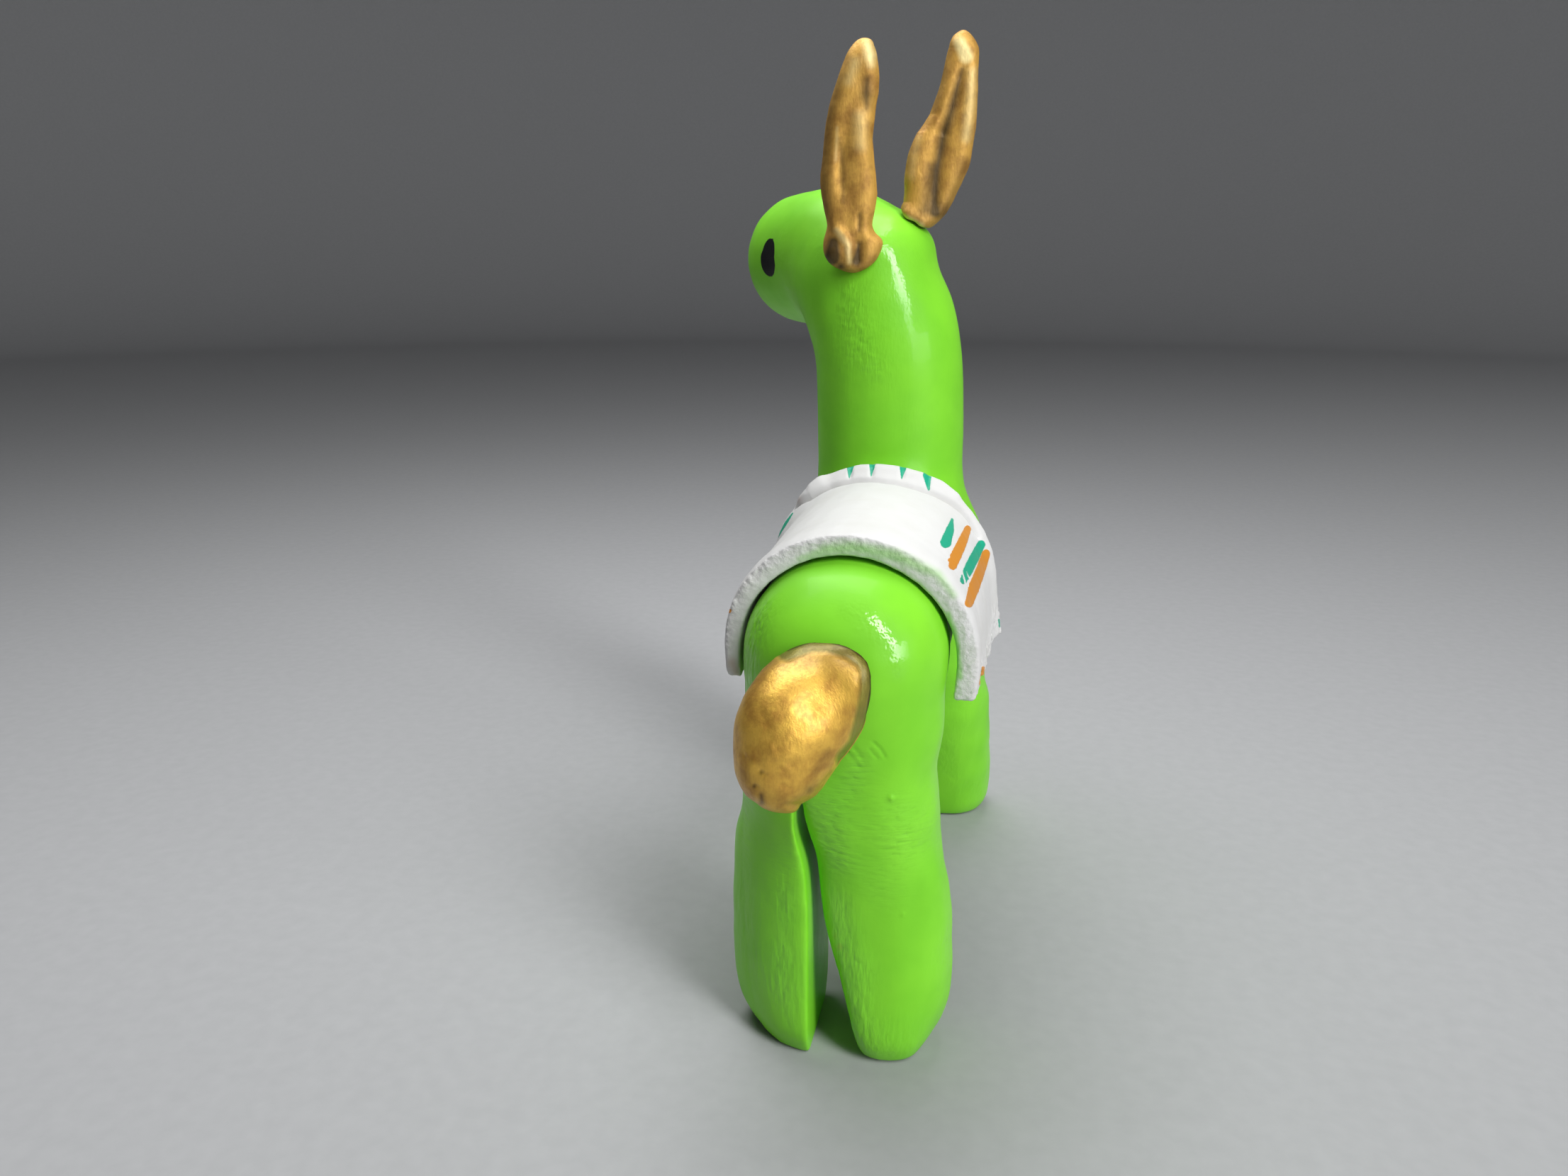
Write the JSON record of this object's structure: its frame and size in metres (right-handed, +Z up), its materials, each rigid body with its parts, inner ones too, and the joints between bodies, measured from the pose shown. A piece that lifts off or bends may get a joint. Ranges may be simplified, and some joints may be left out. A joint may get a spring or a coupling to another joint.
{
  "type": "clay llama figure",
  "caption": "Small standing llama modelled in clay and painted: bent roll body with turned head, tall pinched ears, egg tail and a fringed blanket over the back.",
  "frame": {"origin": "on the standing plane, under the middle of the bounding box", "axes": "+Z up, -Y towards the front of the trunk, +X to the figure's own left; the head turns from -Y towards +X"},
  "size_m": [0.0392, 0.0874, 0.1082],
  "materials": {
    "body_green": "lime green acrylic paint on modelling clay, satin, with fine brush marks; black eyes painted on",
    "blanket_white": "white clay, smooth on top and chalky at the edges, with orange and teal dabs of paint",
    "gold": "gold paint on clay, satin, thin and brown in the creases"
  },
  "bodies": {
    "root": {"body": "body_green", "blanket": "blanket_white", "tail": "gold", "ear_left": "gold", "ear_right": "gold"}
  },
  "joints": []
}
